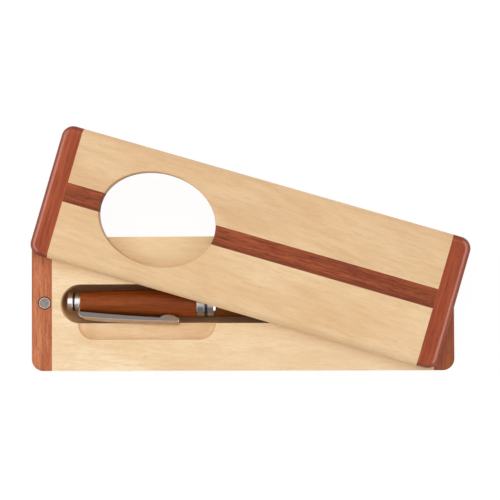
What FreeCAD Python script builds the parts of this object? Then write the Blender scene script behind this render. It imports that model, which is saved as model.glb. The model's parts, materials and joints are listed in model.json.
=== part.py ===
"""A wooden pen box: a grooved base, a lid that swivels on a pin, and a twist pen in the groove.

Millimetres. X runs along the box, +Y to its back, +Z up. The origin is the middle of the
base's underside. The lid stands open by lid_open_angle, and the pen lies in its groove.
"""
import FreeCAD, Part
import os
import re
import Sketcher

Vector = FreeCAD.Vector

# Every driving size, with what it measures. Lengths in mm, angles in degrees.
SIZES = {
    # the case
    "box_width": (56.6, "width of base and lid, front to back"),
    "end_width": (8.6, "length of each dark end block along the box"),
    "corner_radius": (5.0, "plan radius of the four corners"),
    "edge_round": (3.2, "roundover of the lid's top edges and the base's bottom edges"),
    "floor_thickness": (4.8, "wood left under the pen groove"),
    "lid_thickness": (7.0, "thickness of the lid"),
    "lid_gap": (0.2, "running gap between the lid and the base"),
    "lid_open_angle": (16.4, "angle by which the lid stands open"),
    "stripe_width": (8.3, "width of the dark strip along the lid"),
    "stripe_offset": (0.45, "strip's middle behind the lid's middle"),
    "window_length": (50.0, "long diameter of the oval window"),
    "window_width": (39.05, "short diameter of the oval window"),
    "window_edge": (0.5, "softened rim of the window"),
    # the groove and the finger notch
    "groove_margin": (3.6, "wood between the groove's end and the end block"),
    "groove_floor_round": (5.0, "radius where the groove's wall meets its floor"),
    "notch_inset": (7.4, "from the groove's end to the notch's end"),
    "notch_reach": (6.92, "how far the notch reaches in front of the groove"),
    "notch_corner": (6.8, "plan radius of the notch's corners"),
    "notch_floor_round": (3.0, "radius where the notch's wall meets its floor"),
    "notch_past_clip": (4.8, "notch beyond the clip when the pen is slid fully along"),
    "round_margin": (0.5, "least straight wall left above a floor's round"),
    # the catch and the pivot
    "magnet_radius": (2.5, "radius of each catch magnet"),
    "magnet_thickness": (3.0, "thickness of each catch magnet"),
    "magnet_hole_gap": (0.3, "radial gap around a magnet in its hole"),
    "magnet_wall": (0.35, "wood between a magnet's hole and the light wood"),
    "magnet_set_back": (0.05, "magnet's face below the wood's face"),
    "magnet_offset": (0.44, "magnets' centre behind the box's middle"),
    "pin_radius": (2.0, "radius of the pivot pin"),
    "pin_run_gap": (0.05, "radial running gap of the pin in the lid"),
    "pin_floor": (5.0, "wood under the pivot pin"),
    "pin_cover": (1.9, "wood over the pin's hole in the lid"),
    "pin_top_gap": (0.3, "gap over the pin's top"),
    # how the pen lies
    "pen_side_gap": (2.28, "gap between the pen's band and the groove's wall"),
    "pen_floor_gap": (0.1, "gap between the pen's band and the groove's floor"),
    "pen_sink": (1.1, "pen's band below the base's top face"),
    "cap_gap": (0.53, "gap between the cap's rim and the groove's round end"),
    "pen_offset": (0.97, "cap end's distance behind the groove's centre line"),
    "pen_skew": (1.06, "angle between the pen and the groove"),
    "pen_room": (14.9, "free groove beyond the nib"),
    "slide_end_gap": (4.2, "free groove beyond the nib at the end of its slide, clear of the point"),
    # the pen's outside
    "finial_radius": (4.05, "radius of the cap end's bright rings"),
    "finial_length": (2.2, "length of the cap end"),
    "finial_ring_length": (0.9, "length of the black ring in the cap end"),
    "collar_length": (1.8, "length of the bright ring under the black one"),
    "ring_edge": (0.25, "softened edges of the bright rings"),
    "black_recess": (0.15, "black rings below the bright ones"),
    "barrel_step": (0.2, "upper barrel's end above the cap's rings"),
    "barrel_swell": (1.5, "upper barrel's middle above the cap's rings"),
    "barrel_upper_length": (49.8, "length of the upper wooden barrel"),
    "band_radius": (6.0, "radius of the centre band"),
    "band_step": (0.05, "upper barrel's end below the band"),
    "band_upper_length": (3.3, "length of the band's upper bright ring"),
    "band_ring_length": (1.3, "length of the band's black ring"),
    "band_lower_length": (3.4, "length of the band's lower bright ring"),
    "band_taper_length": (0.9, "length of the lower ring's tapered end"),
    "band_taper": (0.45, "radius lost over the tapered end"),
    "barrel_seam": (0.1, "running gap between the band and the lower barrel"),
    "barrel_lower_length": (49.9, "length of the lower wooden barrel"),
    "barrel_lower_swell": (1.0, "lower barrel's middle above the nib's base"),
    "nib_radius": (3.95, "radius of the nib's base"),
    "nib_waist_radius": (3.1, "radius of the nib at its middle"),
    "nib_mouth_radius": (1.75, "outer radius of the nib's mouth"),
    "nib_length": (23.0, "length of the nib outside the barrel"),
    "nib_mouth_length": (6.0, "length of the nib's narrow mouth bore"),
    # the clip
    "clip_ring_length": (0.6, "thickness of the clip's ring"),
    "clip_width": (3.2, "width of the clip's arm"),
    "clip_root_depth": (2.45, "depth of the clip's folded arm at its root"),
    "clip_middle_depth": (1.95, "depth of the arm at its middle"),
    "clip_depth": (1.6, "depth of the arm at its end"),
    "clip_length": (42.5, "length of the clip's arm past its ring"),
    "clip_root_rise": (5.5, "radius of the arm's inner face at its root"),
    "clip_middle_rise": (7.15, "radius of the arm's inner face at its middle"),
    "clip_end_rise": (7.85, "radius of the arm's inner face at its end"),
    "clip_shoulder": (2.2, "radius of the arm's shoulder"),
    "clip_edge": (0.15, "softened edges of the arm's outer face"),
    "clip_edge_share": (0.7, "most of the ring's thickness that a softened edge may take"),
    "clip_tail": (0.8, "arm beyond the ball"),
    "clip_ball_length": (7.6, "length of the rounded ball that grips the barrel"),
    "clip_ball_gap": (0.3, "gap between the ball and the barrel's widest"),
    "clip_roll": (28.0, "angle of the clip above the horizontal"),
    "clip_floor_gap": (1.0, "gap between the clip and the notch's floor"),
    # the pen's inside
    "tube_radius": (3.5, "outer radius of the brass tubes"),
    "tube_wall": (0.35, "wall of the brass tubes"),
    "tube_short": (0.5, "upper tube's end inside the centre band"),
    "glue_gap": (0.05, "radial glue line between wood and tube"),
    "stem_gap": (0.02, "radial gap of pressed stems in their tubes"),
    "run_gap": (0.05, "radial running gap of the pen's turning parts"),
    "finial_plug_length": (7.5, "cap end's plug inside the upper tube"),
    "nib_plug_length": (9.0, "nib's plug inside the lower tube"),
    "driver_length": (34.0, "length of the twist mechanism's driver"),
    "driver_cap": (4.0, "closed end of the driver"),
    "spindle_radius": (2.35, "radius of the mechanism's spindle"),
    "spindle_end_gap": (1.5, "gap between the spindle and the driver's closed end"),
    "spindle_wall": (0.5, "wall of the spindle"),
    "shoulder_gap": (0.3, "sleeve's shoulder inside the lower tube"),
    "sleeve_grip": (12.3, "length of the sleeve pressed into the lower tube"),
    "follower_set_back": (1.2, "follower inside the spindle when the pen is closed"),
    "follower_length": (5.0, "length of the follower that pushes the refill"),
    "follower_stub": (3.0, "length of the follower's stub in the refill"),
    "refill_radius": (1.5, "outer radius of the ink refill"),
    "refill_wall": (0.3, "wall of the ink refill"),
    "refill_clearance": (0.4, "radial gap between the refill and the nib's bore"),
    "tip_radius": (1.15, "radius of the refill's brass tip"),
    "tip_length": (11.0, "length of the tip past the ink tube"),
    "tip_cone_length": (3.0, "length of the tip's cone"),
    "tip_plug_length": (4.0, "length of the tip inside the ink tube"),
    "tip_set_back": (1.0, "writing ball inside the nib when the pen is closed"),
    "tip_run_gap": (0.08, "radial gap of the tip in the nib's mouth"),
    "ball_radius": (0.5, "radius of the writing ball"),
    "ball_gap": (0.03, "gap between the writing ball and its seat"),
    "ball_show": (0.35, "how far the writing ball stands out of its seat"),
}

# Places and sizes that follow from the driving sizes, in the order they are worked out.
DERIVED = {
    # stations along the pen, from the cap end towards the nib
    "at_ring": "finial_length",
    "at_collar": "at_ring + finial_ring_length",
    "at_clip": "at_collar + collar_length",
    "at_barrel": "at_clip + clip_ring_length",
    "at_band": "at_barrel + barrel_upper_length",
    "at_band_ring": "at_band + band_upper_length",
    "at_band_lower": "at_band_ring + band_ring_length",
    "at_band_end": "at_band_lower + band_lower_length",
    "at_lower": "at_band_end + barrel_seam",
    "at_nib": "at_lower + barrel_lower_length",
    "pen_length": "at_nib + nib_length",
    # radii inside the pen
    "tube_bore": "tube_radius - tube_wall",
    "stem_radius": "tube_bore - stem_gap",
    "wood_bore": "tube_radius + glue_gap",
    "clip_end_at": "at_barrel + clip_length",
    # the groove around the pen
    "groove_radius": "band_radius + pen_side_gap",
    "groove_depth": "2 * band_radius + pen_floor_gap + pen_sink",
    "cap_reach": "groove_radius - sqrt((groove_radius - cap_gap) ^ 2 - (pen_offset + finial_radius) ^ 2)",
    "groove_length": "cap_reach + pen_length + pen_room",
    "pen_slide": "pen_room - slide_end_gap",
    "groove_half": "groove_length / 2",
    # the case around the groove
    "core_half": "groove_half + groove_margin",
    "box_half": "core_half + end_width",
    "half_width": "box_width / 2",
    "base_height": "floor_thickness + groove_depth",
    "lid_bottom": "base_height + lid_gap",
    "lid_top": "lid_bottom + lid_thickness",
    "stripe_front": "stripe_offset - stripe_width / 2",
    "stripe_back": "stripe_offset + stripe_width / 2",
    "magnet_hole": "magnet_radius + magnet_hole_gap",
    "magnet_x": "-core_half - magnet_wall - magnet_hole",
    "pivot_x": "core_half + end_width / 2",
    "pin_hole_top": "lid_top - pin_cover",
    # where the pen lies
    "pen_x": "-groove_half + cap_reach",
    "pen_z": "floor_thickness + pen_floor_gap + band_radius",
    # the finger notch, below the clip and past its end
    "clip_low_z": "pen_z + (clip_end_rise + clip_depth) * sin(clip_roll) - clip_width / 2 * cos(clip_roll)",
    "notch_floor_z": "clip_low_z - clip_floor_gap",
    "notch_depth": "base_height - notch_floor_z",
    "notch_left": "-groove_half + notch_inset",
    "notch_right": "pen_x + clip_end_at + pen_slide + notch_past_clip",
    "notch_front": "-groove_radius - notch_reach",
    "window_x": "(notch_left + notch_right) / 2",
    # stations of the twist mechanism and the refill
    "tube_end": "at_band_end - tube_short",
    "driver_start": "tube_end - driver_length",
    "driver_bore_end": "driver_start + driver_cap",
    "driver_bore": "spindle_radius + run_gap",
    "spindle_start": "driver_bore_end + spindle_end_gap",
    "spindle_bore": "spindle_radius - spindle_wall",
    "shoulder_at": "at_lower + shoulder_gap",
    "sleeve_end": "shoulder_at + sleeve_grip",
    "follower_start": "spindle_start + follower_set_back",
    "refill_start": "follower_start + follower_length",
    "refill_bore": "refill_radius - refill_wall",
    "tip_point": "pen_length - tip_set_back",
    "ball_at": "tip_point - ball_radius",
    "seat_end": "tip_point - ball_show",
    "tip_start": "tip_point - tip_length",
    "nib_bore": "refill_radius + refill_clearance",
    "nib_mouth_bore": "tip_radius + tip_run_gap",
}

LID_PLACEMENT = ("placement(vector(0; 0; 0); rotation(vector(0; 0; 1); -lid_open_angle);"
                 " vector(pivot_x; 0; 0))")
PEN_PLACEMENT = ("placement(vector(pen_x; pen_offset; pen_z);"
                 " rotation(vector(0; 0; 1); -pen_skew))")
CLIP_PLACEMENT = ("placement(vector(pen_x; pen_offset; pen_z);"
                  " rotation(vector(0; 0; 1); -pen_skew) * rotation(vector(1; 0; 0); 90 - clip_roll))")

HORIZONTAL_AXIS, VERTICAL_AXIS = range(-1, -3, -1)    # a sketch's own axes, by number
START, END, CENTRE = range(1, 4)                      # points of a line, an arc or a circle
ON_FACE = 1e-4                                        # how near a face an edge lies to be taken as on it

document = FreeCAD.newDocument("pen_box")
SUBPARTS = []


def make_sheet():
    """Write the driving sizes into the document's spreadsheet."""
    sheet = document.addObject("Spreadsheet::Sheet", "sizes")
    for row, (alias, (number, meaning)) in enumerate(SIZES.items(), start=1):
        sheet.set(f"A{row}", meaning)
        sheet.set(f"B{row}", str(number))
        sheet.setAlias(f"B{row}", alias)
    document.recompute()
    return sheet


def formula(text):
    """The expression for a formula in which sizes go by their plain names."""
    def reference(match):
        name = match.group()
        home = "sizes." if name in SIZES else "derived." if name in DERIVED else ""
        return home + name
    return re.sub(r"[a-z_]+", reference, text)


def make_derived():
    """Hold the derived sizes as bound properties of one variable set."""
    derived = document.addObject("App::VarSet", "derived")
    for name, text in DERIVED.items():
        derived.addProperty("App::PropertyFloat", name)
        derived.setExpression(name, formula(text))
    document.recompute()
    return derived


sheet = make_sheet()
derived = make_derived()


def value(text):
    """What a formula comes to now."""
    return float(derived.evalExpression(formula(text)))


# ---------------------------------------------------------------- sketching

def new_body(name, placement=None):
    """A sub-part: a body whose label names its file."""
    body = document.addObject("PartDesign::Body", name)
    body.Label = name
    if placement:
        body.setExpression("Placement", formula(placement))
    SUBPARTS.append(body)
    return body


def new_sketch(body, name, plane="XY_Plane", height="0"):
    """A sketch on one of the body's own planes, raised to a height along its normal."""
    sketch = body.newObject("Sketcher::SketchObject", name)
    support = next(item for item in body.Origin.OriginFeatures if item.Role == plane)
    sketch.AttachmentSupport = (support, [""])
    sketch.MapMode = "FlatFace"
    if height != "0":
        sketch.setExpression("AttachmentOffset.Base.z", formula(height))
    return sketch


def place_point(sketch, geometry, point, x, y):
    """Bind a point of the sketch to two formulas, or to an axis where one is zero."""
    label = f"p{geometry}_{point}_"
    for way, axis, text in (("X", VERTICAL_AXIS, x), ("Y", HORIZONTAL_AXIS, y)):
        if text == "0":
            sketch.addConstraint(Sketcher.Constraint("PointOnObject", geometry, point, axis))
            continue
        rule = Sketcher.Constraint("Distance" + way, HORIZONTAL_AXIS, START, geometry, point, value(text))
        index = sketch.addConstraint(rule)
        sketch.renameConstraint(index, label + way)
        sketch.setExpression("Constraints." + label + way, formula(text))


def draw_circle(sketch, x, y, radius):
    """A circle whose centre and radius are formulas."""
    index = sketch.addGeometry(Part.Circle(Vector(value(x), value(y), 0), Vector(0, 0, 1), value(radius)))
    place_point(sketch, index, CENTRE, x, y)
    rule = sketch.addConstraint(Sketcher.Constraint("Radius", index, value(radius)))
    sketch.renameConstraint(rule, f"radius{index}")
    sketch.setExpression(f"Constraints.radius{index}", formula(radius))


def draw_outline(sketch, points):
    """A closed outline through points (x, y); a third entry (x, y) makes the side that
    ends at the point an arc through that place."""
    places = [Vector(value(point[0]), value(point[1]), 0) for point in points]
    sides = []
    for number, point in enumerate(points):
        here, there = places[number - 1], places[number]
        if len(point) == 2:
            sides.append((sketch.addGeometry(Part.LineSegment(here, there)), START, END))
            continue
        through = Vector(value(point[2][0]), value(point[2][1]), 0)
        anticlockwise = (through - here).cross(there - here).z > 0
        ends = (here, there) if anticlockwise else (there, here)
        index = sketch.addGeometry(Part.Arc(ends[0], through, ends[1]))
        sides.append((index, START, END) if anticlockwise else (index, END, START))
        marker = sketch.addGeometry(Part.Point(through), True)
        sketch.addConstraint(Sketcher.Constraint("PointOnObject", marker, START, index))
        place_point(sketch, marker, START, *point[2])
    for number, point in enumerate(points):
        side, _, last = sides[number]
        following, first, _ = sides[(number + 1) % len(sides)]
        sketch.addConstraint(Sketcher.Constraint("Coincident", side, last, following, first))
        place_point(sketch, side, last, point[0], point[1])


def rectangle(left, front, right, back):
    """The four corners of a rectangle, as outline points."""
    return [(left, front), (right, front), (right, back), (left, back)]


def rounded_rectangle(left, front, right, back, radius):
    """An outline whose four corners are arcs of one radius."""
    inset = f"{radius} * (1 - sqrt(0.5))"
    return [
        (f"{left} + {radius}", front, (f"{left} + {inset}", f"{front} + {inset}")),
        (f"{right} - {radius}", front),
        (right, f"{front} + {radius}", (f"{right} - {inset}", f"{front} + {inset}")),
        (right, f"{back} - {radius}"),
        (f"{right} - {radius}", back, (f"{right} - {inset}", f"{back} - {inset}")),
        (f"{left} + {radius}", back),
        (left, f"{back} - {radius}", (f"{left} + {inset}", f"{back} - {inset}")),
        (left, f"{front} + {radius}"),
    ]


# ---------------------------------------------------------------- features

def add_pad(body, sketch, length, midplane=False):
    """Raise a sketch into a solid."""
    pad = body.newObject("PartDesign::Pad", sketch.Name + "_pad")
    pad.Profile = sketch
    if midplane:
        pad.SideType = "Symmetric"
    pad.setExpression("Length", formula(length))
    document.recompute()
    return pad


def add_turning(body, sketch):
    """Turn a sketch about its horizontal axis."""
    turning = body.newObject("PartDesign::Revolution", sketch.Name + "_turned")
    turning.Profile = sketch
    turning.ReferenceAxis = (sketch, ["H_Axis"])
    turning.Angle = 360
    document.recompute()
    return turning


def cut_pocket(body, sketch, depth, upwards=False):
    """Cut a sketch into the body, and make sure that it takes wood away."""
    before = body.Shape.Volume
    pocket = body.newObject("PartDesign::Pocket", sketch.Name + "_pocket")
    pocket.Profile = sketch
    pocket.Reversed = upwards
    pocket.setExpression("Length", formula(depth))
    document.recompute()
    if not body.Shape.Volume < before:
        raise ValueError(f"{pocket.Name} takes nothing away")
    return pocket


def edges_where(shape, test):
    """The names of the edges whose start, middle and end all pass a test."""
    names = []
    for number, edge in enumerate(shape.Edges, start=1):
        span = edge.LastParameter - edge.FirstParameter
        spots = [edge.valueAt(edge.FirstParameter + share * span) for share in (0, 0.5, 1)]
        if all(test(spot) for spot in spots):
            names.append(f"Edge{number}")
    return names


def round_edges(body, name, radius, test):
    """Round the edges that pass a test, given in the body's own frame."""
    solid = body.Tip
    names = edges_where(solid.Shape, test)
    if not names:
        raise ValueError(f"{name} finds no edge")
    fillet = body.newObject("PartDesign::Fillet", name)
    fillet.Base = (solid, names)
    fillet.setExpression("Radius", formula(radius))
    document.recompute()
    return fillet


def near(one, other):
    """Whether two places along an axis are the same."""
    return abs(one - other) < ON_FACE


def add_hole(body, name, x, radius, mouth, depth, y="0", upwards=False):
    """A blind round hole, from its mouth into the wood."""
    sketch = new_sketch(body, name, height=mouth)
    draw_circle(sketch, x, y, radius)
    cut_pocket(body, sketch, depth, upwards)


# ---------------------------------------------------------------- the base

def make_base_core():
    """The light middle of the base, with the pen groove and the finger notch."""
    body = new_body("base_core")
    block = new_sketch(body, "core_block")
    draw_outline(block, rectangle("-core_half", "-half_width", "core_half", "half_width"))
    add_pad(body, block, "base_height")
    side = value("half_width")
    round_edges(body, "core_bottom_round", "edge_round",
                lambda spot: near(spot.z, 0) and near(abs(spot.y), side))

    notch = new_sketch(body, "finger_notch", height="base_height")
    draw_outline(notch, rounded_rectangle("notch_left", "notch_front", "notch_right", "0", "notch_corner"))
    cut_pocket(body, notch, "notch_depth")
    floor = value("notch_floor_z")
    round_edges(body, "notch_floor_fillet", "min(notch_floor_round; notch_depth - round_margin)",
                lambda spot: near(spot.z, floor))

    groove = new_sketch(body, "pen_groove", height="base_height")
    run = "groove_half - groove_radius"
    draw_outline(groove, [
        (f"-({run})", "-groove_radius", ("-groove_half", "0")),
        (run, "-groove_radius"),
        (run, "groove_radius", ("groove_half", "0")),
        (f"-({run})", "groove_radius"),
    ])
    cut_pocket(body, groove, "groove_depth")
    bottom = value("floor_thickness")
    round_edges(body, "groove_floor_fillet", "min(groove_floor_round; groove_radius - round_margin)",
                lambda spot: near(spot.z, bottom))


def make_end_block(name, side, bottom, top, rounded, placement=None):
    """A dark end block: side is -1 at the left and 1 at the right, and rounded is the height
    of the outside edges that are rounded over. The glued face's own edge stays sharp."""
    body = new_body(name, placement)
    sign = "-" if side < 0 else ""
    block = new_sketch(body, name + "_block", height=bottom)
    inner, outer = f"{sign}core_half", f"{sign}box_half"
    left, right = (outer, inner) if side < 0 else (inner, outer)
    draw_outline(block, rectangle(left, "-half_width", right, "half_width"))
    add_pad(body, block, f"{top} - ({bottom})")
    end, face, level = value(outer), value(inner), value(rounded)
    round_edges(body, name + "_corners", "corner_radius",
                lambda spot: near(spot.x, end) and near(abs(spot.y), value("half_width")))
    round_edges(body, name + "_round", "edge_round",
                lambda spot: near(spot.z, level)
                and (not near(spot.x, face) or near(abs(spot.y), value("half_width"))))
    return body


def make_base_ends():
    """The base's two end blocks, one for the magnet and one for the pivot pin."""
    left = make_end_block("base_end_left", -1, "0", "base_height", "0")
    add_hole(left, "base_magnet_hole", "magnet_x", "magnet_hole", "base_height",
             "magnet_thickness + magnet_set_back", "magnet_offset")
    right = make_end_block("base_end_right", 1, "0", "base_height", "0")
    add_hole(right, "base_pin_hole", "pivot_x", "pin_radius", "base_height", "base_height - pin_floor")


def make_disc(name, x, radius, bottom, height, y="0", placement=None):
    """A round piece that stands upright, with softened ends."""
    body = new_body(name, placement)
    sketch = new_sketch(body, name + "_circle", height=bottom)
    draw_circle(sketch, x, y, radius)
    add_pad(body, sketch, height)
    rim = value(radius)
    round_edges(body, name + "_edges", "ring_edge",
                lambda spot: near(((spot.x - value(x)) ** 2 + (spot.y - value(y)) ** 2) ** 0.5, rim)
                and (near(spot.z, value(bottom)) or near(spot.z, value(f"{bottom} + {height}"))))


# ---------------------------------------------------------------- the lid

def cut_window(body):
    """Cut the oval window through a piece of the lid and soften its rim."""
    sketch = new_sketch(body, body.Label + "_window", height="lid_top")
    centre = Vector(value("window_x"), 0, 0)
    long_end = centre + Vector(value("window_length / 2"), 0, 0)
    short_end = centre + Vector(0, value("window_width / 2"), 0)
    oval = sketch.addGeometry(Part.Ellipse(long_end, short_end, centre))
    sketch.exposeInternalGeometry(oval)
    place_point(sketch, oval, CENTRE, "window_x", "0")
    long_axis, short_axis = oval + 1, oval + 2
    sketch.addConstraint(Sketcher.Constraint("Horizontal", long_axis))
    for axis, size in ((long_axis, "window_length"), (short_axis, "window_width")):
        rule = sketch.addConstraint(Sketcher.Constraint("Distance", axis, value(size)))
        sketch.renameConstraint(rule, size)
        sketch.setExpression("Constraints." + size, formula(size))
    cut_pocket(body, sketch, "lid_thickness")
    top, middle = value("lid_top"), value("window_x")
    half_long, half_short = value("window_length / 2"), value("window_width / 2")

    def on_rim(spot):
        share = ((spot.x - middle) / half_long) ** 2 + (spot.y / half_short) ** 2
        return near(spot.z, top) and abs(share - 1) < ON_FACE
    round_edges(body, body.Label + "_rim", "window_edge", on_rim)


def make_lid_panel(name, side):
    """A light panel of the lid: side is 1 behind the dark strip and -1 in front of it."""
    body = new_body(name, LID_PLACEMENT)
    block = new_sketch(body, name + "_block", height="lid_bottom")
    front, back = ("stripe_back", "half_width") if side > 0 else ("-half_width", "stripe_front")
    draw_outline(block, rectangle("-core_half", front, "core_half", back))
    add_pad(body, block, "lid_thickness")
    edge, top = side * value("half_width"), value("lid_top")
    round_edges(body, name + "_round", "edge_round",
                lambda spot: near(spot.z, top) and near(spot.y, edge))
    cut_window(body)


def make_lid_stripe(name, left, right):
    """A length of the dark strip between the lid's panels, from an end to the window."""
    body = new_body(name, LID_PLACEMENT)
    block = new_sketch(body, name + "_block", height="lid_bottom")
    draw_outline(block, rectangle(left, "stripe_front", right, "stripe_back"))
    add_pad(body, block, "lid_thickness")
    cut_window(body)


def make_lid():
    """The lid: two light panels, the dark strip in two lengths, and two end blocks."""
    make_lid_panel("lid_panel_back", 1)
    make_lid_panel("lid_panel_front", -1)
    make_lid_stripe("lid_stripe_left", "-core_half", "window_x")
    make_lid_stripe("lid_stripe_right", "window_x", "core_half")
    left = make_end_block("lid_end_left", -1, "lid_bottom", "lid_top", "lid_top", LID_PLACEMENT)
    add_hole(left, "lid_magnet_hole", "magnet_x", "magnet_hole", "lid_bottom",
             "magnet_thickness + magnet_set_back", "magnet_offset", upwards=True)
    right = make_end_block("lid_end_right", 1, "lid_bottom", "lid_top", "lid_top", LID_PLACEMENT)
    add_hole(right, "lid_pin_hole", "pivot_x", "pin_radius + pin_run_gap", "lid_bottom",
             "pin_hole_top - lid_bottom", upwards=True)


def make_catch_and_pivot():
    """The two catch magnets and the pin that the lid swivels on."""
    make_disc("base_magnet", "magnet_x", "magnet_radius",
              "base_height - magnet_set_back - magnet_thickness", "magnet_thickness", "magnet_offset")
    make_disc("lid_magnet", "magnet_x", "magnet_radius", "lid_bottom + magnet_set_back",
              "magnet_thickness", "magnet_offset", LID_PLACEMENT)
    make_disc("pivot_pin", "pivot_x", "pin_radius", "pin_floor", "pin_hole_top - pin_top_gap - pin_floor")


# ---------------------------------------------------------------- the pen

def make_turned(name, points, edge=None, test=None):
    """A turned piece of the pen, from an outline of (station, radius) points."""
    body = new_body(name, PEN_PLACEMENT)
    sketch = new_sketch(body, name + "_profile", "XZ_Plane")
    draw_outline(sketch, points)
    add_turning(body, sketch)
    if edge:
        round_edges(body, name + "_edges", edge, test)
    return body


def tube_points(start, end, bore, radius):
    """The profile of a plain tube."""
    return [(start, bore), (end, bore), (end, radius), (start, radius)]


def outside(radius):
    """A test for the edges at a radius about the pen's axis."""
    wanted = value(radius)
    return lambda spot: near((spot.y ** 2 + spot.z ** 2) ** 0.5, wanted)


def make_cap_end():
    """The cap end: a bright head whose plug carries a black ring and a bright collar."""
    plug_end = "at_barrel + finial_plug_length"
    make_turned("pen_finial", [
        ("0", "0"), (plug_end, "0"), (plug_end, "stem_radius"), ("at_ring", "stem_radius"),
        ("at_ring", "finial_radius"), ("0", "finial_radius")], "ring_edge", outside("finial_radius"))
    make_turned("pen_finial_ring",
                tube_points("at_ring", "at_collar", "tube_bore", "finial_radius - black_recess"))
    make_turned("pen_clip_collar", tube_points("at_collar", "at_clip", "tube_bore", "finial_radius"),
                "ring_edge", outside("finial_radius"))


def make_clip():
    """The clip: a bowed arm that ends in a ball, on a thin ring round the cap's plug."""
    body = new_body("pen_clip", CLIP_PLACEMENT)
    arm = new_sketch(body, "clip_arm", "XZ_Plane")
    foot = "tube_bore + glue_gap"
    middle = "(at_barrel + clip_end_at) / 2"
    ball_end = "clip_end_at - clip_tail"
    ball_start = "clip_end_at - clip_tail - clip_ball_length"
    ball_middle = "clip_end_at - clip_tail - clip_ball_length / 2"
    draw_outline(arm, [
        ("at_clip", foot),
        ("at_barrel", foot),
        ("at_barrel", "clip_root_rise"),
        (ball_start, "clip_end_rise", (middle, "clip_middle_rise")),
        (ball_end, "clip_end_rise", (ball_middle, "band_radius + clip_ball_gap")),
        ("clip_end_at", "clip_end_rise"),
        ("clip_end_at", "clip_end_rise + clip_depth"),
        ("at_clip", "clip_root_rise + clip_root_depth", (middle, "clip_middle_rise + clip_middle_depth")),
    ])
    add_pad(body, arm, "clip_width", midplane=True)

    start, tip = value("at_clip"), value("clip_end_at")
    root, end = value("clip_root_rise + clip_root_depth"), value("clip_end_rise + clip_depth")
    round_edges(body, "clip_shoulder_round", "clip_shoulder",
                lambda spot: near(spot.x, start) and near(spot.z, root))
    round_edges(body, "clip_end_round", "clip_depth / 2",
                lambda spot: near(spot.x, tip) and near(spot.z, end))
    across, inside = value("clip_width / 2"), value("clip_end_rise")
    round_edges(body, "clip_outer_edges", "min(clip_edge; clip_edge_share * clip_ring_length)",
                lambda spot: near(abs(spot.y), across) and spot.z > inside + ON_FACE)

    ring = new_sketch(body, "clip_ring", "XZ_Plane")
    draw_outline(ring, tube_points("at_clip", "at_barrel", "tube_bore", "finial_radius"))
    add_turning(body, ring)


def make_upper_barrel():
    """The upper wooden barrel on its brass tube, which runs on through the centre band."""
    start, end = "finial_radius + barrel_step", "band_radius - band_step"
    make_turned("pen_barrel_upper", [
        ("at_barrel", "wood_bore"), ("at_band", "wood_bore"), ("at_band", end),
        ("at_barrel", start, ("(at_barrel + at_band) / 2", "finial_radius + barrel_swell"))])
    make_turned("pen_tube_upper", tube_points("at_barrel", "tube_end", "tube_bore", "tube_radius"))


def make_centre_band():
    """The centre band: a bright ring, a black ring and a bright ring with a tapered end."""
    make_turned("pen_band_upper", tube_points("at_band", "at_band_ring", "wood_bore", "band_radius"),
                "ring_edge", outside("band_radius"))
    make_turned("pen_band_ring",
                tube_points("at_band_ring", "at_band_lower", "wood_bore", "band_radius - black_recess"))
    make_turned("pen_band_lower", [
        ("at_band_lower", "wood_bore"), ("at_band_end", "wood_bore"),
        ("at_band_end", "band_radius - band_taper"),
        ("at_band_end - band_taper_length", "band_radius"), ("at_band_lower", "band_radius")])


def make_mechanism():
    """The twist mechanism: a driver in the upper tube turns round a sleeve's spindle."""
    make_turned("mechanism_driver", [
        ("driver_start", "0"), ("driver_bore_end", "0"), ("driver_bore_end", "driver_bore"),
        ("tube_end", "driver_bore"), ("tube_end", "stem_radius"), ("driver_start", "stem_radius")])
    make_turned("mechanism_sleeve", [
        ("spindle_start", "spindle_bore"), ("sleeve_end", "spindle_bore"),
        ("sleeve_end", "stem_radius"), ("shoulder_at", "stem_radius"),
        ("shoulder_at", "spindle_radius"), ("spindle_start", "spindle_radius")])


def make_lower_barrel():
    """The lower wooden barrel on its brass tube, and the bright nib pressed into it."""
    make_turned("pen_barrel_lower", [
        ("at_lower", "wood_bore"), ("at_nib", "wood_bore"), ("at_nib", "nib_radius + band_step"),
        ("at_lower", "band_radius - band_taper - band_step",
         ("(at_lower + at_nib) / 2", "nib_radius + barrel_lower_swell"))])
    make_turned("pen_tube_lower", tube_points("at_lower", "at_nib", "tube_bore", "tube_radius"))
    narrow_at = "pen_length - nib_mouth_length"
    make_turned("pen_nib", [
        ("at_nib - nib_plug_length", "nib_bore"), (narrow_at, "nib_bore"), (narrow_at, "nib_mouth_bore"),
        ("pen_length", "nib_mouth_bore"), ("pen_length", "nib_mouth_radius"),
        ("at_nib", "nib_radius", ("(at_nib + pen_length) / 2", "nib_waist_radius")),
        ("at_nib", "stem_radius"), ("at_nib - nib_plug_length", "stem_radius")])


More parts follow.
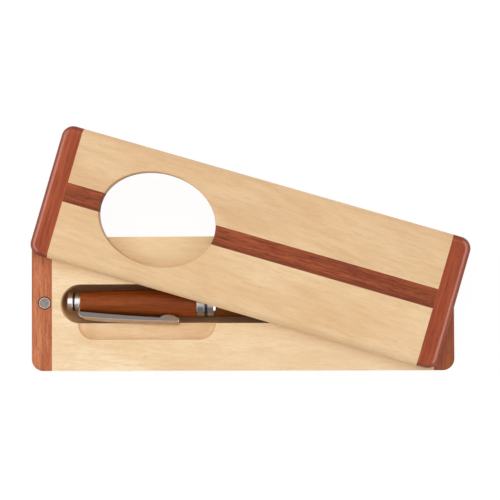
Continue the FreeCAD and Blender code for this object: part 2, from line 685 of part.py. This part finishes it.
def make_refill():
    """The ink refill: a follower that pushes it, its tube, its brass tip and its ball."""
    stub_end = "refill_start + follower_stub"
    make_turned("refill_follower", [
        ("follower_start", "0"), (stub_end, "0"), (stub_end, "refill_bore - stem_gap"),
        ("refill_start", "refill_bore - stem_gap"), ("refill_start", "spindle_bore - run_gap"),
        ("follower_start", "spindle_bore - run_gap")])
    make_turned("refill_tube", tube_points("refill_start", "tip_start", "refill_bore", "refill_radius"))
    plug_start = "tip_start - tip_plug_length"
    socket = "ball_radius + ball_gap"
    make_turned("refill_tip", [
        (plug_start, "0"), (f"ball_at - ({socket})", "0"),
        ("seat_end", f"sqrt(({socket}) ^ 2 - (ball_radius - ball_show) ^ 2)",
         (f"ball_at - ({socket}) * sqrt(0.5)", f"({socket}) * sqrt(0.5)")),
        ("seat_end", "ball_radius + 2 * ball_gap"),
        ("seat_end - tip_cone_length", "tip_radius"),
        ("tip_start", "tip_radius"), ("tip_start", "refill_bore - stem_gap"),
        (plug_start, "refill_bore - stem_gap")])
    make_turned("refill_ball", [
        ("ball_at + ball_radius", "0"),
        ("ball_at - ball_radius", "0", ("ball_at", "ball_radius"))])


# ---------------------------------------------------------------- checks and files

def check_document():
    """Stop if any object failed, or if a sub-part isn't one valid solid."""
    for item in document.Objects:
        if {"Invalid", "Error"} & set(item.State):
            raise RuntimeError(f"{item.Name} failed: {item.State}")
    for body in SUBPARTS:
        shape = body.Shape
        if shape.isNull() or not shape.isValid() or len(shape.Solids) != 1:
            raise RuntimeError(f"{body.Label} isn't one valid solid")


def write_parts():
    """Write one STEP file for each sub-part."""
    os.makedirs("parts", exist_ok=True)
    for body in SUBPARTS:
        body.Shape.exportStep(f"parts/{body.Label}.step")


make_base_core()
make_base_ends()
make_lid()
make_catch_and_pivot()
make_cap_end()
make_clip()
make_upper_barrel()
make_centre_band()
make_mechanism()
make_lower_barrel()
make_refill()
document.recompute()
check_document()
write_parts()
print(f"{len(SUBPARTS)} sub-parts, box {2 * value('box_half'):.2f} x {value('box_width'):.2f}"
      f" x {value('lid_top'):.2f} mm, pen {value('pen_length'):.1f} mm")
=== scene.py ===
"""Looks for the wooden pen box: woods, plated metal, camera, soft studio light and a white floor."""
import json
import math

import bpy
from mathutils import Matrix, Vector


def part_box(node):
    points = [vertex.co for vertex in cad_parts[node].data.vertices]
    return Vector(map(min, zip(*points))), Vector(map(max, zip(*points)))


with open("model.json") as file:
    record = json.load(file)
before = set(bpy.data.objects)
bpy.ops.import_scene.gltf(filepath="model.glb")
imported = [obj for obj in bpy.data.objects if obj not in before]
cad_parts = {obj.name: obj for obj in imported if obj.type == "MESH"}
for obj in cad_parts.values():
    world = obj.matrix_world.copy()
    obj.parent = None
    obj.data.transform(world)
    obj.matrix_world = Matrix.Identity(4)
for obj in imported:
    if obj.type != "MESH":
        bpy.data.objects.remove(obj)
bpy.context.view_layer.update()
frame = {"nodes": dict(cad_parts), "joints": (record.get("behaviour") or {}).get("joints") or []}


# ---------------------------------------------------------------- places read from the frame

JOINTS = {joint["name"]: joint for joint in frame["joints"]}
LID_ANGLE = math.radians(JOINTS["lid_swivel"]["range_deg"][0])   # the open lid's turn about +Z
LID_AXES = Matrix.Rotation(-LID_ANGLE, 3, "Z")                   # turns the lid back along X
PEN_ALONG = JOINTS["pen_slide"]["axis"]
PEN_ANGLE = math.atan2(PEN_ALONG[1], PEN_ALONG[0])               # the pen's turn about +Z
BASE_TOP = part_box("base_core")[1].z
MAGNET_LOW, MAGNET_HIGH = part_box("base_magnet")
MAGNET_RADIUS = (MAGNET_HIGH.x - MAGNET_LOW.x) / 2
MAGNET_CENTRE = ((MAGNET_LOW.x + MAGNET_HIGH.x) / 2, (MAGNET_LOW.y + MAGNET_HIGH.y) / 2, 0.0)


def lid_box(node):
    """A lid piece's lowest and highest corners, in axes that are turned with the open lid."""
    turned = [LID_AXES @ vertex.co for vertex in frame["nodes"][node].data.vertices]
    return [Vector([end(values) for values in zip(*turned)]) for end in (min, max)]


STRIP_FRONT = lid_box("lid_stripe_left")[0].y
WINDOW_LEFT = lid_box("lid_stripe_left")[1].x                    # where the strip meets the window
WINDOW_RIGHT = lid_box("lid_stripe_right")[0].x
LID_MIDDLE = (LID_AXES @ Vector(JOINTS["lid_swivel"]["pos_m"])).y    # the window's line and the pivot's
WINDOW_CENTRE = ((WINDOW_LEFT + WINDOW_RIGHT) / 2, LID_MIDDLE, 0.0)

# ---------------------------------------------------------------- where shades lie, matched

STREAK_TURN = math.radians(-3)        # maple's streaks run slightly across its grain
BROWNER_ALONG = (-0.03, 0.07)            # along the base, from the least shade to the most
YELLOW_ALONG = (-0.070, -0.050)
YELLOW_ACROSS = (0.008, 0.020)        # across the base
GROOVE_ACROSS = (-0.0065, 0.0030)     # from the groove's lit front wall to its dark back wall
GROOVE_REACH = 0.0081                 # from the base's middle line
NOTCH_REACH = 0.0150
STRIP_ALONG = (0.02, 0.075)           # along the lid
STRIP_ACROSS = (STRIP_FRONT + 0.0027, STRIP_FRONT + 0.0007)
WALL_SHADE_REACH = (WINDOW_RIGHT - WINDOW_LEFT) / 2 + 0.0019           # a little beyond the window's wall
MAGNET_RIM = (MAGNET_RADIUS - 0.0007, MAGNET_RADIUS - 0.0003)

# ---------------------------------------------------------------- floor, light and camera sizes

FLOOR_REACH = 1.6
FLOOR_DROP = 0.0002                   # below the base's underside
CARD_TILT = math.radians(8.0)         # the overhead card's centre, leaning to the back
CARD_HALF_ANGLE = math.radians(28.0)
CARD_SOFTNESS = math.radians(18.0)
WALL_FOOT = (0.99, 0.96)              # a direction's part along X, about 8 to 16 degrees up
WALL_HEAD = (0.45, 0.62)              # and about 63 to 52 degrees up
CAMERA_LENS = 105.6                   # mm, on a sensor 36 mm wide
CAMERA_PLACE = (0.0279, 0.0062, 0.6354)
CAMERA_TURN = (1.497, 2.260, -0.252)  # degrees


def linear(red, green, blue):
    """A linear colour from 0-255 display values."""
    def channel(value):
        value /= 255
        return value / 12.92 if value <= 0.04045 else ((value + 0.055) / 1.055) ** 2.4
    return (channel(red), channel(green), channel(blue), 1.0)


def scaled(colour, share):
    """A plain colour made darker or lighter."""
    return tuple(min(1.0, share * channel) for channel in colour[:3]) + (1.0,)


# ---------------------------------------------------------------- node helpers

class Nodes:
    """The node tree of a new material or world, with short calls for the nodes that the looks use.
    A source may be a socket, which is linked, or a plain number or colour, which is written."""

    def __init__(self, owner):
        owner.use_nodes = True
        self.owner = owner
        self.tree = owner.node_tree
        self.tree.nodes.clear()

    def add(self, kind, **settings):
        node = self.tree.nodes.new("ShaderNode" + kind)
        for key, value in settings.items():
            setattr(node, key, value)
        return node

    def feed(self, socket, source):
        if isinstance(source, bpy.types.NodeSocket):
            self.tree.links.new(source, socket)
        else:
            socket.default_value = source

    def mapping(self, vector, **values):
        node = self.add("Mapping", vector_type="POINT")
        self.feed(node.inputs["Vector"], vector)
        for key, value in values.items():
            node.inputs[key].default_value = value
        return node.outputs["Vector"]

    def place(self, turn=0.0, stretch=(1, 1, 1), shift=(0, 0, 0)):
        """Object coordinates turned about Z, so that X runs along the grain, then stretched and shifted."""
        turned = self.mapping(self.add("TexCoord").outputs["Object"], Rotation=(0, 0, -turn))
        return self.mapping(turned, Scale=stretch, Location=shift)

    def split(self, vector):
        """A vector's own X, Y and Z."""
        node = self.add("SeparateXYZ")
        self.feed(node.inputs[0], vector)
        return node.outputs

    def facing_up(self):
        """1 on faces that look straight up, 0 on upright faces, -1 on faces that look down."""
        return self.split(self.add("NewGeometry").outputs["Normal"])["Z"]

    def away(self, centre, turn=0.0):
        """The distance from a centre, seen from above, in axes that are turned about Z."""
        node = self.add("VectorMath", operation="DISTANCE")
        self.feed(node.inputs[0], self.place(turn, stretch=(1, 1, 0)))
        node.inputs[1].default_value = centre
        return node.outputs["Value"]

    def noise(self, vector, detail, roughness=0.5, distortion=0.0):
        """Noise with one cell to each unit of the vector."""
        node = self.add("TexNoise")
        self.feed(node.inputs["Vector"], vector)
        settings = {"Scale": 1.0, "Detail": detail, "Roughness": roughness, "Distortion": distortion}
        for key, number in settings.items():
            node.inputs[key].default_value = number
        return node.outputs["Fac"]

    def spread(self, value, low, high, out_low=0.0, out_high=1.0, smooth=True):
        """A value mapped from one range to another, and kept inside it."""
        node = self.add("MapRange", interpolation_type="SMOOTHSTEP" if smooth else "LINEAR")
        self.feed(node.inputs["Value"], value)
        settings = {"From Min": low, "From Max": high, "To Min": out_low, "To Max": out_high}
        for key, number in settings.items():
            node.inputs[key].default_value = number
        return node.outputs["Result"]

    def calculate(self, operation, *sources):
        node = self.add("Math", operation=operation)
        for socket, source in zip(node.inputs, sources):
            self.feed(socket, source)
        return node.outputs[0]

    def multiply(self, first, second):
        return self.calculate("MULTIPLY", first, second)

    def plus(self, first, second):
        return self.calculate("ADD", first, second)

    def blend(self, share, first, second):
        """A colour mixed from two colours."""
        node = self.add("Mix", data_type="RGBA")
        self.feed(node.inputs["Factor"], share)
        for key, colour in (("A", first), ("B", second)):
            self.feed(next(s for s in node.inputs if s.name == key and s.type == "RGBA"), colour)
        return next(s for s in node.outputs if s.type == "RGBA")

    def mix(self, share, first, second):
        """A shader mixed from two shaders."""
        node = self.add("MixShader")
        for socket, source in zip(node.inputs, (share, first, second)):
            self.feed(socket, source)
        return node.outputs["Shader"]

    def bump(self, height, strength, distance):
        node = self.add("Bump")
        node.inputs["Strength"].default_value = strength
        node.inputs["Distance"].default_value = distance
        self.feed(node.inputs["Height"], height)
        return node.outputs["Normal"]

    def surface(self, shader, output="OutputMaterial"):
        """Links the tree's output, and gives the material or world back."""
        self.feed(self.add(output).inputs["Surface"], shader)
        return self.owner

    def finish(self, colour, roughness, normal, coat=0.0, **constants):
        """A Principled surface; the other settings are plain numbers."""
        shader = self.add("BsdfPrincipled")
        sources = {"Base Color": colour, "Roughness": roughness, "Normal": normal, "Coat Weight": coat}
        for key, source in sources.items():
            self.feed(shader.inputs[key], source)
        for key, number in constants.items():
            shader.inputs[key.replace("_", " ")].default_value = number
        return self.surface(shader.outputs["BSDF"])


def new_material(name):
    return Nodes(bpy.data.materials.new(name))


def upright(n):
    """1 on faces that stand upright, 0 on faces that look up or down."""
    return n.spread(n.calculate("ABSOLUTE", n.facing_up()), 0.5, 0.2)


# ---------------------------------------------------------------- maple

def maple(name, turn, pale, mid, warm, shift, grain=1.0, base=False):
    """Pale close-grained wood: soft bands, fine streaks near the grain's line and small flecks. Upright
    faces are duller. The base is browner in places, with painted shade in its notch and groove, and the
    lid's window wall is painted darker as shade."""
    n = new_material(name)
    clouds = n.noise(n.place(turn, (16, 34, 34), shift), detail=2)
    bands = n.noise(n.place(turn + 2 * STREAK_TURN, (26, 115, 115), shift), detail=2, distortion=0.25)
    streaks = n.noise(n.place(turn + STREAK_TURN, (95, 620, 620), shift), detail=3, roughness=0.6)
    lines = n.noise(n.place(turn, (260, 1700, 1700), shift), detail=2, roughness=0.6)
    flecks = n.noise(n.place(turn, (800, 2600, 2600), shift), detail=1)
    colour = n.blend(n.spread(bands, 0.34, 0.66), mid, pale)
    colour = n.blend(n.multiply(n.spread(clouds, 0.38, 0.64), 0.35), colour, warm)
    colour = n.blend(n.multiply(n.spread(streaks, 0.40, 0.70), 0.40 * grain), colour, warm)
    colour = n.blend(n.multiply(n.spread(lines, 0.45, 0.75), 0.26 * grain), colour, scaled(warm, 0.88))
    colour = n.blend(n.multiply(n.spread(flecks, 0.60, 0.76), 0.26 * grain), colour, scaled(warm, 0.80))
    side = upright(n)
    colour = base_shades(n, colour) if base else window_wall_shade(n, side, colour)
    roughness = n.plus(n.spread(streaks, 0.3, 0.7, 0.42, 0.56), n.multiply(side, 0.36))
    normal = n.bump(n.plus(n.multiply(streaks, 0.5), n.multiply(lines, 0.7)), 0.2, 0.00010)
    return n.finish(colour, roughness, normal, 0.12, Coat_Roughness=0.3, Specular_IOR_Level=0.25)


def base_shades(n, colour):
    """The base's wood is browner towards the right and yellower at the back. The notch and the groove are
    painted browner as shade, the groove most on its back wall."""
    at = n.split(n.add("TexCoord").outputs["Object"])
    browner_right = n.multiply(n.spread(at["X"], *BROWNER_ALONG), 0.5)
    colour = n.blend(browner_right, colour, linear(230, 196, 155))
    yellow = n.multiply(n.spread(at["Y"], *YELLOW_ACROSS), n.spread(at["X"], *YELLOW_ALONG, 0.15, 0.5))
    colour = n.blend(yellow, colour, linear(236, 200, 144))
    # Painted shade: the notch is painted browner, as the shade and warm bounced light inside it.
    notch = n.multiply(routed(n, at, NOTCH_REACH, start=0.0002, full=0.0015), 0.24)
    colour = n.blend(notch, colour, linear(206, 150, 98))
    # Painted shade: the groove is painted darker and browner, most on its back wall.
    groove = n.multiply(routed(n, at, GROOVE_REACH, start=-0.0002, full=0.0055),
                        n.spread(at["Y"], *GROOVE_ACROSS, 0.29, 0.60))
    groove_shade_colour = n.blend(n.spread(at["Y"], *GROOVE_ACROSS), linear(236, 160, 92), linear(168, 108, 60))
    return n.blend(groove, colour, groove_shade_colour)


def routed(n, at, reach, start, full):
    """1 on routed wood within a reach of the base's middle line. It starts at one depth below the
    top and is full at another, and the underside has none."""
    inside = n.spread(n.calculate("ABSOLUTE", at["Y"]), reach + 0.0005, reach)
    below = n.spread(at["Z"], BASE_TOP - start, BASE_TOP - full)
    above_underside = n.spread(at["Z"], 0.002, 0.004)
    return n.multiply(n.multiply(inside, below), above_underside)


def window_wall_shade(n, side, colour):
    """The wall of the lid's window is painted darker, as shade."""
    near = n.spread(n.away(WINDOW_CENTRE, LID_ANGLE), WALL_SHADE_REACH + 0.001, WALL_SHADE_REACH)
    return n.blend(n.multiply(n.multiply(side, near), 0.8), colour, linear(178, 134, 96))


MAPLE_LID_BACK = maple("maple_lid_back", LID_ANGLE, linear(238, 203, 159), linear(230, 191, 145),
                       linear(214, 171, 127), shift=(0.3, 1.7, 0.2))
MAPLE_LID_FRONT = maple("maple_lid_front", LID_ANGLE, linear(243, 210, 166), linear(234, 196, 149),
                        linear(220, 177, 129), shift=(4.1, 0.9, 2.6))
MAPLE_BASE = maple("maple_base", 0.0, linear(255, 230, 191), linear(246, 214, 170),
                   linear(235, 195, 147), shift=(2.1, 0.4, 1.3), grain=1.35, base=True)


# ---------------------------------------------------------------- rosewood

def rosewood(name, turn, light, mid, dark, shift, contrast=1.0, coat=0.1, edge_coat_and_shade=0.0, pores=0.6,
             strip=False):
    """Red-brown wood: broad bands, long dark streaks and short pores along the grain, lacquered.
    Upright faces are duller. A piece given an edge coat has a heavier, polished coat where its top turns
    over into its sides, and its sides are painted darker, as shade."""
    n = new_material(name)
    bands = n.noise(n.place(turn, (14, 260, 260), shift), detail=3, roughness=0.6, distortion=0.3)
    streaks = n.noise(n.place(turn, (75, 1300, 1300), shift), detail=3, roughness=0.65, distortion=0.2)
    lines = n.noise(n.place(turn, (130, 3000, 3000), shift), detail=2, roughness=0.6)
    pore = n.noise(n.place(turn, (420, 3300, 3300), shift), detail=1)
    colour = n.blend(n.spread(bands, 0.36, 0.64), mid, light)
    colour = n.blend(n.multiply(n.spread(streaks, 0.42, 0.66), 0.70 * contrast), colour, dark)
    colour = n.blend(n.multiply(n.spread(lines, 0.50, 0.72), 0.60 * contrast), colour, scaled(dark, 0.85))
    colour = n.blend(n.multiply(n.spread(pore, 0.60, 0.72), pores), colour, scaled(dark, 0.5))
    side = upright(n)
    if strip:
        colour = strip_shades(n, side, colour, dark)
    if edge_coat_and_shade:
        up = n.facing_up()
        edge = n.multiply(n.spread(up, 0.985, 0.955), n.spread(up, 0.80, 0.90))
        # Painted shade: the steep sides of the rounded edge are painted darker.
        colour = n.blend(n.spread(up, 0.88, 0.60, 0.0, 0.5), colour, scaled(dark, 0.6))
        coat = n.spread(edge, 0.0, 1.0, coat, edge_coat_and_shade, smooth=False)
    roughness = n.plus(n.spread(streaks, 0.3, 0.75, 0.36, 0.48), n.multiply(side, 0.36))
    normal = n.bump(n.plus(n.multiply(lines, 0.6), n.multiply(pore, 0.5)), 0.2, 0.00008)
    return n.finish(colour, roughness, normal, coat, Coat_Roughness=0.2, Specular_IOR_Level=0.15)


def strip_shades(n, side, colour, dark):
    """The lid's strip is darker along its front edge, and is painted darker as shade towards its right end
    and on its upright faces.
    """
    at = n.split(n.place(LID_ANGLE))
    colour = n.blend(n.multiply(n.spread(at["Y"], *STRIP_ACROSS), 0.4), colour, scaled(dark, 0.9))
    # Painted shade towards the strip's right end.
    colour = n.blend(n.spread(at["X"], *STRIP_ALONG, 0.0, 0.25), colour, dark)
    # Painted shade on the strip's upright faces.
    return n.blend(n.multiply(side, 0.6), colour, scaled(dark, 0.5))


END_LID = rosewood("rosewood_lid_ends", LID_ANGLE + math.pi / 2, linear(174, 84, 50),
                   linear(154, 68, 38), linear(120, 44, 22), shift=(0.7, 0.2, 0.5), contrast=0.7,
                   edge_coat_and_shade=0.8, pores=0.2)
END_BASE_LEFT = rosewood("rosewood_base_left", math.pi / 2, linear(214, 134, 92),
                         linear(190, 107, 69), linear(156, 80, 48), shift=(1.4, 2.6, 0.9), contrast=0.9)
# The right end block is its own darker wood, and is painted darker still as the shade of the lid above it.
END_BASE_RIGHT = rosewood("rosewood_base_right", math.pi / 2, linear(182, 106, 72),
                          linear(158, 84, 52), linear(128, 60, 34), shift=(6.2, 1.3, 3.7),
                          contrast=0.9, pores=0.5)
STRIPE = rosewood("rosewood_stripe", LID_ANGLE, linear(172, 86, 50), linear(150, 71, 42),
                  linear(98, 42, 20), shift=(3.3, 1.1, 0.4), coat=0.05, pores=0.7, strip=True)
PEN_WOOD = rosewood("pen_wood", PEN_ANGLE, linear(150, 74, 26), linear(126, 56, 14),
                    linear(92, 36, 8), shift=(0.9, 3.4, 2.2), contrast=0.6, coat=0.05, pores=0.2)
# Painted shade: the lower barrel is the same wood, painted darker as the shade it lies in.
PEN_WOOD_SHADED = rosewood("pen_wood_lower", PEN_ANGLE, linear(122, 68, 24), linear(98, 50, 14),
                        linear(72, 34, 8), shift=(5.2, 0.8, 1.9), contrast=0.6, coat=0.05, pores=0.2)


# ---------------------------------------------------------------- metal, enamel and plastic

def turned_metal(name, colour, turn, low, high):
    """Plated or turned metal with faint marks that run round the pen and a little wear."""
    n = new_material(name)
    rings = n.noise(n.place(turn, (9000, 120, 120)), detail=2)
    smudge = n.noise(n.place(turn, (260, 260, 260)), detail=3, roughness=0.55)
    share = n.plus(n.multiply(rings, 0.4), n.multiply(smudge, 0.6))
    tone = n.blend(n.spread(smudge, 0.35, 0.7), colour, scaled(colour, 0.88))
    normal = n.bump(rings, 0.05, 0.00002)
    return n.finish(tone, n.spread(share, 0.35, 0.65, low, high), normal, Metallic=1.0)


def magnet_face():
    """A dull nickel disc with fine scratches, a mottled face and a rim painted brighter as a highlight."""
    n = new_material("magnet_nickel")
    mottle = n.noise(n.place(0.0, (900, 900, 900)), detail=4, roughness=0.6)
    scratch = n.noise(n.place(math.radians(35), (400, 6500, 400)), detail=2)
    tone = n.blend(n.spread(mottle, 0.36, 0.68), linear(126, 121, 120), linear(108, 99, 97))
    # Painted highlight: the rim is painted brighter.
    tone = n.blend(n.spread(n.away(MAGNET_CENTRE), *MAGNET_RIM), tone, linear(158, 136, 126))
    share = n.plus(n.multiply(mottle, 0.5), n.multiply(scratch, 0.5))
    roughness = n.spread(share, 0.35, 0.65, 0.38, 0.55)
    return n.finish(tone, roughness, n.bump(share, 0.25, 0.00004), Metallic=0.85)


def moulded(name, colour, low, high):
    """Enamel or plastic with a faint ripple and uneven gloss."""
    n = new_material(name)
    ripple = n.noise(n.place(0.0, (700, 700, 700)), detail=3)
    tone = n.blend(n.spread(ripple, 0.35, 0.7), colour, scaled(colour, 1.25))
    return n.finish(tone, n.spread(ripple, 0.3, 0.7, low, high), n.bump(ripple, 0.06, 0.00003))


CHROME = turned_metal("chrome", linear(208, 202, 200), PEN_ANGLE, 0.10, 0.22)
# Painted shade: the band's chrome is a darker copy of the chrome.
BAND_CHROME_SHADED = turned_metal("band_chrome", linear(154, 146, 145), PEN_ANGLE, 0.12, 0.26)
# Painted shade and reflection: the clip's chrome is a darker, warmer copy of the chrome.
CLIP_CHROME_SHADED = turned_metal("clip_chrome", linear(192, 180, 174), PEN_ANGLE, 0.10, 0.22)
BRASS = turned_metal("brass", linear(206, 170, 96), PEN_ANGLE, 0.22, 0.36)
STEEL = turned_metal("ground_steel", linear(176, 176, 178), 0.0, 0.2, 0.34)
ENAMEL = moulded("black_enamel", linear(16, 16, 20), 0.12, 0.24)
REFILL = moulded("refill_plastic", linear(228, 228, 222), 0.35, 0.5)

LOOKS = {
    "base_core": MAPLE_BASE, "base_end_left": END_BASE_LEFT, "base_end_right": END_BASE_RIGHT,
    "base_magnet": magnet_face(), "lid_magnet": STEEL, "pivot_pin": STEEL,
    "lid_panel_back": MAPLE_LID_BACK, "lid_panel_front": MAPLE_LID_FRONT,
    "lid_stripe_left": STRIPE, "lid_stripe_right": STRIPE,
    "lid_end_left": END_LID, "lid_end_right": END_LID,
    "pen_finial": CHROME, "pen_finial_ring": ENAMEL, "pen_clip_collar": CHROME, "pen_clip": CLIP_CHROME_SHADED,
    "pen_barrel_upper": PEN_WOOD, "pen_tube_upper": BRASS, "pen_band_upper": BAND_CHROME_SHADED,
    "pen_band_ring": ENAMEL, "pen_band_lower": BAND_CHROME_SHADED, "mechanism_driver": BRASS,
    "pen_barrel_lower": PEN_WOOD_SHADED, "pen_tube_lower": BRASS, "pen_nib": CHROME,
    "mechanism_sleeve": BRASS, "refill_follower": REFILL, "refill_tube": REFILL,
    "refill_tip": BRASS, "refill_ball": STEEL,
}
for node, look in LOOKS.items():
    for slot in frame["nodes"][node].material_slots:
        slot.material = look


# ---------------------------------------------------------------- floor, light and camera

def white_floor():
    """A pale floor that reads as white to the camera and still takes the box's soft shadow."""
    mesh = bpy.data.meshes.new("floor")
    corners = [(-1, -1), (1, -1), (1, 1), (-1, 1)]
    places = [(x * FLOOR_REACH, y * FLOOR_REACH, -FLOOR_DROP) for x, y in corners]
    mesh.from_pydata(places, [], [(0, 1, 2, 3)])
    floor = bpy.data.objects.new("floor", mesh)
    bpy.context.collection.objects.link(floor)
    n = new_material("floor_white")
    path = n.add("LightPath").outputs
    seen = n.plus(n.plus(path["Is Camera Ray"], path["Is Glossy Ray"]), path["Is Transmission Ray"])
    paper = n.add("BsdfDiffuse")
    paper.inputs["Color"].default_value = (0.86, 0.86, 0.86, 1)
    glow = n.add("Emission")
    glow.inputs["Color"].default_value = (1, 1, 1, 1)
    glow.inputs["Strength"].default_value = 1.06
    shader = n.mix(n.multiply(seen, 0.87), paper.outputs["BSDF"], glow.outputs["Emission"])
    mesh.materials.append(n.surface(shader))


def white_world(fill, dim, card, wall):
    """White to the camera; an even fill; and in reflections a dimmer room with a bright card
    overhead and a bright wall beyond each end."""
    n = Nodes(bpy.data.worlds.new("studio"))

    def white(strength):
        node = n.add("Background")
        node.inputs["Color"].default_value = (1, 1, 1, 1)
        n.feed(node.inputs["Strength"], strength)
        return node.outputs["Background"]

    direction = n.add("TexCoord").outputs["Generated"]
    facing = n.add("VectorMath", operation="DOT_PRODUCT")
    n.feed(facing.inputs[0], direction)
    facing.inputs[1].default_value = (0.0, math.sin(CARD_TILT), math.cos(CARD_TILT))
    overhead = n.spread(facing.outputs["Value"], math.cos(CARD_HALF_ANGLE + CARD_SOFTNESS),
                        math.cos(CARD_HALF_ANGLE - CARD_SOFTNESS), 0.0, card - dim)
    sideways = n.calculate("ABSOLUTE", n.split(direction)["X"])
    walls = n.multiply(n.spread(sideways, *WALL_HEAD, 0.0, wall - dim), n.spread(sideways, *WALL_FOOT))
    level = n.plus(n.plus(overhead, walls), dim)
    path = n.add("LightPath").outputs
    reflected = n.mix(path["Is Glossy Ray"], white(fill), white(level))
    seen = n.mix(path["Is Camera Ray"], reflected, white(1.0))
    bpy.context.scene.world = n.surface(seen, "OutputWorld")


def soft_box(name, place, aim, width, depth, power):
    """A rectangular soft lamp that points at a spot and makes no highlight."""
    lamp = bpy.data.lights.new(name, "AREA")
    lamp.shape = "RECTANGLE"
    lamp.size = width
    lamp.size_y = depth
    lamp.energy = power
    holder = bpy.data.objects.new(name, lamp)
    holder.location = place
    direction = Vector(aim) - Vector(place)
    holder.rotation_euler = direction.to_track_quat("-Z", "Y").to_euler()
    holder.visible_glossy = False
    bpy.context.collection.objects.link(holder)


white_floor()
white_world(fill=0.66, dim=0.42, card=1.80, wall=4.0)
soft_box("back_key", (0.03, 0.55, 0.98), aim=(0.0, 0.0, 0.0), width=0.8, depth=0.6, power=2.3)
for name, place in (("left_strip", (-0.81, 0.24, 0.56)), ("right_strip", (0.86, -0.25, 0.58))):
    soft_box(name, place, aim=(0.0, 0.0, 0.02), width=0.36, depth=0.36, power=1.45)

lens = bpy.data.cameras.new("camera")
lens.sensor_width = 36.0
lens.lens = CAMERA_LENS
camera = bpy.data.objects.new("camera", lens)
camera.location = CAMERA_PLACE
camera.rotation_euler = [math.radians(angle) for angle in CAMERA_TURN]
bpy.context.collection.objects.link(camera)
bpy.context.scene.camera = camera
bpy.context.scene.view_settings.view_transform = "Standard"
